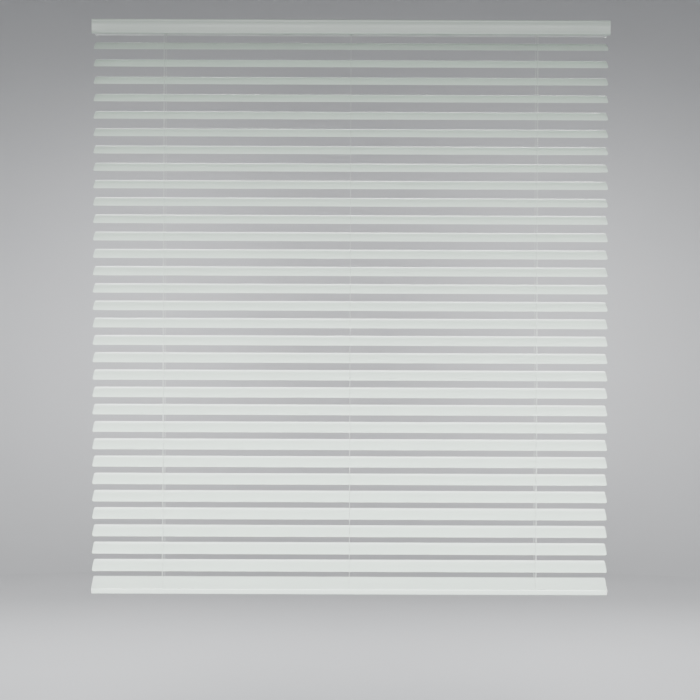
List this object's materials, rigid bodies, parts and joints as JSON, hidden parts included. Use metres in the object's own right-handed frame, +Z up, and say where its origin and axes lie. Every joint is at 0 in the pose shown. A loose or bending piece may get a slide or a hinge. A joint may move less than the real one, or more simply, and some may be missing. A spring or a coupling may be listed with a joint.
{
  "type": "venetian blind",
  "caption": "Wall-hung venetian blind: horizontal crowned aluminium slats on ladder cords under a headrail, tilted together and gathered from the bottom.",
  "frame": {"origin": "on the back face of the centre bracket, where it meets the wall, level with the middle of the fascia", "axes": "+X along the slats to the right as seen from the room, +Y into the wall, +Z up; the room is on the -Y side"},
  "size_m": [1.25, 0.067, 1.3874],
  "materials": {
    "slat_paint": "stove-enamelled aluminium, pale mint grey, satin",
    "rail_paint": "powder-coated extruded aluminium, pale mint grey, satin",
    "fascia_paint": "enamelled rolled aluminium, pale mint grey, satin",
    "headrail_paint": "enamelled rolled steel, pale mint grey, satin",
    "cap_plastic": "moulded plastic, colour-matched",
    "zinc_steel": "zinc-plated bent steel",
    "rod_steel": "bright drawn steel",
    "drum_plastic": "off-white acetal",
    "motor_plastic": "grey moulded plastic",
    "cord_fibre": "braided polyester, colour-matched"
  },
  "bodies": {
    "root": {"fascia": "fascia_paint", "headrail": "headrail_paint", "headrail_end_cap_left": "cap_plastic", "headrail_end_cap_right": "cap_plastic", "bracket_left": "zinc_steel", "bracket_centre": "zinc_steel", "bracket_right": "zinc_steel", "spring_motor_case": "motor_plastic"},
    "tilt_rod": {"tilt_rod": "rod_steel", "tilt_drum_left": "drum_plastic", "tilt_drum_centre": "drum_plastic", "tilt_drum_right": "drum_plastic"},
    "ladder_fronts": {"ladder_front_left": "cord_fibre", "ladder_front_centre": "cord_fibre", "ladder_front_right": "cord_fibre"},
    "ladder_backs": {"ladder_back_left": "cord_fibre", "ladder_back_centre": "cord_fibre", "ladder_back_right": "cord_fibre"},
    "lift_cords": {"lift_cord_left": "cord_fibre", "lift_cord_right": "cord_fibre"},
    "bottom_rail": {"bottom_rail": "rail_paint", "bottom_rail_cap_left": "cap_plastic", "bottom_rail_cap_right": "cap_plastic"},
    "cord_spool": {"cord_spool": "drum_plastic"},
    "slat_01": {"slat_01": "slat_paint"},
    "slat_02": {"slat_02": "slat_paint"},
    "slat_03": {"slat_03": "slat_paint"},
    "slat_04": {"slat_04": "slat_paint"},
    "slat_05": {"slat_05": "slat_paint"},
    "slat_06": {"slat_06": "slat_paint"},
    "slat_07": {"slat_07": "slat_paint"},
    "slat_08": {"slat_08": "slat_paint"},
    "slat_09": {"slat_09": "slat_paint"},
    "slat_10": {"slat_10": "slat_paint"},
    "slat_11": {"slat_11": "slat_paint"},
    "slat_12": {"slat_12": "slat_paint"},
    "slat_13": {"slat_13": "slat_paint"},
    "slat_14": {"slat_14": "slat_paint"},
    "slat_15": {"slat_15": "slat_paint"},
    "slat_16": {"slat_16": "slat_paint"},
    "slat_17": {"slat_17": "slat_paint"},
    "slat_18": {"slat_18": "slat_paint"},
    "slat_19": {"slat_19": "slat_paint"},
    "slat_20": {"slat_20": "slat_paint"},
    "slat_21": {"slat_21": "slat_paint"},
    "slat_22": {"slat_22": "slat_paint"},
    "slat_23": {"slat_23": "slat_paint"},
    "slat_24": {"slat_24": "slat_paint"},
    "slat_25": {"slat_25": "slat_paint"},
    "slat_26": {"slat_26": "slat_paint"},
    "slat_27": {"slat_27": "slat_paint"},
    "slat_28": {"slat_28": "slat_paint"},
    "slat_29": {"slat_29": "slat_paint"},
    "slat_30": {"slat_30": "slat_paint"},
    "slat_31": {"slat_31": "slat_paint"},
    "cord_loop_27": {"cord_loop_27": "cord_fibre"},
    "cord_loop_28": {"cord_loop_28": "cord_fibre"},
    "cord_loop_29": {"cord_loop_29": "cord_fibre"},
    "cord_loop_30": {"cord_loop_30": "cord_fibre"},
    "cord_loop_31": {"cord_loop_31": "cord_fibre"}
  },
  "joints": [
    {"name": "tilt", "type": "hinge", "parent": "root", "child": "tilt_rod", "pos_m": [0, -0.0345, 0.0008], "axis": [1, 0, 0], "range_deg": [-93, 37], "deforming": ["ladder_front_left", "ladder_front_centre", "ladder_front_right", "ladder_back_left", "ladder_back_centre", "ladder_back_right"]},
    {"name": "ladder_front_swing", "type": "hinge", "parent": "tilt_rod", "child": "ladder_fronts", "pos_m": [0, -0.05763, -0.0115], "axis": [1, 0, 0], "range_deg": [-37, 93]},
    {"name": "ladder_back_swing", "type": "hinge", "parent": "tilt_rod", "child": "ladder_backs", "pos_m": [0, -0.01137, 0.0131], "axis": [1, 0, 0], "range_deg": [-37, 93]},
    {"name": "lift", "type": "slide", "parent": "root", "child": "lift_cords", "axis": [0, 0, 1], "range_m": [0, 0.228], "deforming": ["lift_cord_left", "lift_cord_right"]},
    {"name": "bottom_rail_turn", "type": "hinge", "parent": "lift_cords", "child": "bottom_rail", "pos_m": [0, -0.0345, -1.3443], "axis": [1, 0, 0], "range_deg": [-93, 37]},
    {"name": "cord_spool_spin", "type": "hinge", "parent": "root", "child": "cord_spool", "pos_m": [0.15, -0.0195, 0], "axis": [0, 0, 1], "range_deg": [-1700, 0]},
    {"name": "slat_01_turn", "type": "hinge", "parent": "root", "child": "slat_01", "pos_m": [0, -0.0345, -0.042], "axis": [1, 0, 0], "range_deg": [-93, 37]},
    {"name": "slat_02_turn", "type": "hinge", "parent": "root", "child": "slat_02", "pos_m": [0, -0.0345, -0.084], "axis": [1, 0, 0], "range_deg": [-93, 37]},
    {"name": "slat_03_turn", "type": "hinge", "parent": "root", "child": "slat_03", "pos_m": [0, -0.0345, -0.126], "axis": [1, 0, 0], "range_deg": [-93, 37]},
    {"name": "slat_04_turn", "type": "hinge", "parent": "root", "child": "slat_04", "pos_m": [0, -0.0345, -0.168], "axis": [1, 0, 0], "range_deg": [-93, 37]},
    {"name": "slat_05_turn", "type": "hinge", "parent": "root", "child": "slat_05", "pos_m": [0, -0.0345, -0.21], "axis": [1, 0, 0], "range_deg": [-93, 37]},
    {"name": "slat_06_turn", "type": "hinge", "parent": "root", "child": "slat_06", "pos_m": [0, -0.0345, -0.252], "axis": [1, 0, 0], "range_deg": [-93, 37]},
    {"name": "slat_07_turn", "type": "hinge", "parent": "root", "child": "slat_07", "pos_m": [0, -0.0345, -0.294], "axis": [1, 0, 0], "range_deg": [-93, 37]},
    {"name": "slat_08_turn", "type": "hinge", "parent": "root", "child": "slat_08", "pos_m": [0, -0.0345, -0.336], "axis": [1, 0, 0], "range_deg": [-93, 37]},
    {"name": "slat_09_turn", "type": "hinge", "parent": "root", "child": "slat_09", "pos_m": [0, -0.0345, -0.378], "axis": [1, 0, 0], "range_deg": [-93, 37]},
    {"name": "slat_10_turn", "type": "hinge", "parent": "root", "child": "slat_10", "pos_m": [0, -0.0345, -0.42], "axis": [1, 0, 0], "range_deg": [-93, 37]},
    {"name": "slat_11_turn", "type": "hinge", "parent": "root", "child": "slat_11", "pos_m": [0, -0.0345, -0.462], "axis": [1, 0, 0], "range_deg": [-93, 37]},
    {"name": "slat_12_turn", "type": "hinge", "parent": "root", "child": "slat_12", "pos_m": [0, -0.0345, -0.504], "axis": [1, 0, 0], "range_deg": [-93, 37]},
    {"name": "slat_13_turn", "type": "hinge", "parent": "root", "child": "slat_13", "pos_m": [0, -0.0345, -0.546], "axis": [1, 0, 0], "range_deg": [-93, 37]},
    {"name": "slat_14_turn", "type": "hinge", "parent": "root", "child": "slat_14", "pos_m": [0, -0.0345, -0.588], "axis": [1, 0, 0], "range_deg": [-93, 37]},
    {"name": "slat_15_turn", "type": "hinge", "parent": "root", "child": "slat_15", "pos_m": [0, -0.0345, -0.63], "axis": [1, 0, 0], "range_deg": [-93, 37]},
    {"name": "slat_16_turn", "type": "hinge", "parent": "root", "child": "slat_16", "pos_m": [0, -0.0345, -0.672], "axis": [1, 0, 0], "range_deg": [-93, 37]},
    {"name": "slat_17_turn", "type": "hinge", "parent": "root", "child": "slat_17", "pos_m": [0, -0.0345, -0.714], "axis": [1, 0, 0], "range_deg": [-93, 37]},
    {"name": "slat_18_turn", "type": "hinge", "parent": "root", "child": "slat_18", "pos_m": [0, -0.0345, -0.756], "axis": [1, 0, 0], "range_deg": [-93, 37]},
    {"name": "slat_19_turn", "type": "hinge", "parent": "root", "child": "slat_19", "pos_m": [0, -0.0345, -0.798], "axis": [1, 0, 0], "range_deg": [-93, 37]},
    {"name": "slat_20_turn", "type": "hinge", "parent": "root", "child": "slat_20", "pos_m": [0, -0.0345, -0.84], "axis": [1, 0, 0], "range_deg": [-93, 37]},
    {"name": "slat_21_turn", "type": "hinge", "parent": "root", "child": "slat_21", "pos_m": [0, -0.0345, -0.882], "axis": [1, 0, 0], "range_deg": [-93, 37]},
    {"name": "slat_22_turn", "type": "hinge", "parent": "root", "child": "slat_22", "pos_m": [0, -0.0345, -0.924], "axis": [1, 0, 0], "range_deg": [-93, 37]},
    {"name": "slat_23_turn", "type": "hinge", "parent": "root", "child": "slat_23", "pos_m": [0, -0.0345, -0.966], "axis": [1, 0, 0], "range_deg": [-93, 37]},
    {"name": "slat_24_turn", "type": "hinge", "parent": "root", "child": "slat_24", "pos_m": [0, -0.0345, -1.008], "axis": [1, 0, 0], "range_deg": [-93, 37]},
    {"name": "slat_25_turn", "type": "hinge", "parent": "root", "child": "slat_25", "pos_m": [0, -0.0345, -1.05], "axis": [1, 0, 0], "range_deg": [-93, 37]},
    {"name": "slat_26_turn", "type": "hinge", "parent": "root", "child": "slat_26", "pos_m": [0, -0.0345, -1.092], "axis": [1, 0, 0], "range_deg": [-93, 37]},
    {"name": "cord_loop_27_rise", "type": "slide", "parent": "root", "child": "cord_loop_27", "axis": [0, 0, 1], "range_m": [0, 0.0385]},
    {"name": "slat_27_turn", "type": "hinge", "parent": "cord_loop_27", "child": "slat_27", "pos_m": [0, -0.0345, -1.134], "axis": [1, 0, 0], "range_deg": [-93, 37]},
    {"name": "cord_loop_28_rise", "type": "slide", "parent": "root", "child": "cord_loop_28", "axis": [0, 0, 1], "range_m": [0, 0.0765]},
    {"name": "slat_28_turn", "type": "hinge", "parent": "cord_loop_28", "child": "slat_28", "pos_m": [0, -0.0345, -1.176], "axis": [1, 0, 0], "range_deg": [-93, 37]},
    {"name": "cord_loop_29_rise", "type": "slide", "parent": "root", "child": "cord_loop_29", "axis": [0, 0, 1], "range_m": [0, 0.1145]},
    {"name": "slat_29_turn", "type": "hinge", "parent": "cord_loop_29", "child": "slat_29", "pos_m": [0, -0.0345, -1.218], "axis": [1, 0, 0], "range_deg": [-93, 37]},
    {"name": "cord_loop_30_rise", "type": "slide", "parent": "root", "child": "cord_loop_30", "axis": [0, 0, 1], "range_m": [0, 0.1525]},
    {"name": "slat_30_turn", "type": "hinge", "parent": "cord_loop_30", "child": "slat_30", "pos_m": [0, -0.0345, -1.26], "axis": [1, 0, 0], "range_deg": [-93, 37]},
    {"name": "cord_loop_31_rise", "type": "slide", "parent": "root", "child": "cord_loop_31", "axis": [0, 0, 1], "range_m": [0, 0.1905]},
    {"name": "slat_31_turn", "type": "hinge", "parent": "cord_loop_31", "child": "slat_31", "pos_m": [0, -0.0345, -1.302], "axis": [1, 0, 0], "range_deg": [-93, 37]}
  ],
  "couplings": [
    {"joint": "ladder_front_swing", "follows": "tilt", "ratio": -1},
    {"joint": "ladder_back_swing", "follows": "tilt", "ratio": -1},
    {"joint": "bottom_rail_turn", "follows": "tilt", "ratio": 1},
    {"joint": "cord_spool_spin", "follows": "lift", "rad_per_m": -125},
    {"joint": "slat_01_turn", "follows": "tilt", "ratio": 1},
    {"joint": "slat_02_turn", "follows": "tilt", "ratio": 1},
    {"joint": "slat_03_turn", "follows": "tilt", "ratio": 1},
    {"joint": "slat_04_turn", "follows": "tilt", "ratio": 1},
    {"joint": "slat_05_turn", "follows": "tilt", "ratio": 1},
    {"joint": "slat_06_turn", "follows": "tilt", "ratio": 1},
    {"joint": "slat_07_turn", "follows": "tilt", "ratio": 1},
    {"joint": "slat_08_turn", "follows": "tilt", "ratio": 1},
    {"joint": "slat_09_turn", "follows": "tilt", "ratio": 1},
    {"joint": "slat_10_turn", "follows": "tilt", "ratio": 1},
    {"joint": "slat_11_turn", "follows": "tilt", "ratio": 1},
    {"joint": "slat_12_turn", "follows": "tilt", "ratio": 1},
    {"joint": "slat_13_turn", "follows": "tilt", "ratio": 1},
    {"joint": "slat_14_turn", "follows": "tilt", "ratio": 1},
    {"joint": "slat_15_turn", "follows": "tilt", "ratio": 1},
    {"joint": "slat_16_turn", "follows": "tilt", "ratio": 1},
    {"joint": "slat_17_turn", "follows": "tilt", "ratio": 1},
    {"joint": "slat_18_turn", "follows": "tilt", "ratio": 1},
    {"joint": "slat_19_turn", "follows": "tilt", "ratio": 1},
    {"joint": "slat_20_turn", "follows": "tilt", "ratio": 1},
    {"joint": "slat_21_turn", "follows": "tilt", "ratio": 1},
    {"joint": "slat_22_turn", "follows": "tilt", "ratio": 1},
    {"joint": "slat_23_turn", "follows": "tilt", "ratio": 1},
    {"joint": "slat_24_turn", "follows": "tilt", "ratio": 1},
    {"joint": "slat_25_turn", "follows": "tilt", "ratio": 1},
    {"joint": "slat_26_turn", "follows": "tilt", "ratio": 1},
    {"joint": "cord_loop_27_rise", "follows": "lift", "ratio": 0.16667},
    {"joint": "slat_27_turn", "follows": "tilt", "ratio": 1},
    {"joint": "cord_loop_28_rise", "follows": "lift", "ratio": 0.33333},
    {"joint": "slat_28_turn", "follows": "tilt", "ratio": 1},
    {"joint": "cord_loop_29_rise", "follows": "lift", "ratio": 0.5},
    {"joint": "slat_29_turn", "follows": "tilt", "ratio": 1},
    {"joint": "cord_loop_30_rise", "follows": "lift", "ratio": 0.66667},
    {"joint": "slat_30_turn", "follows": "tilt", "ratio": 1},
    {"joint": "cord_loop_31_rise", "follows": "lift", "ratio": 0.83333},
    {"joint": "slat_31_turn", "follows": "tilt", "ratio": 1}
  ]
}
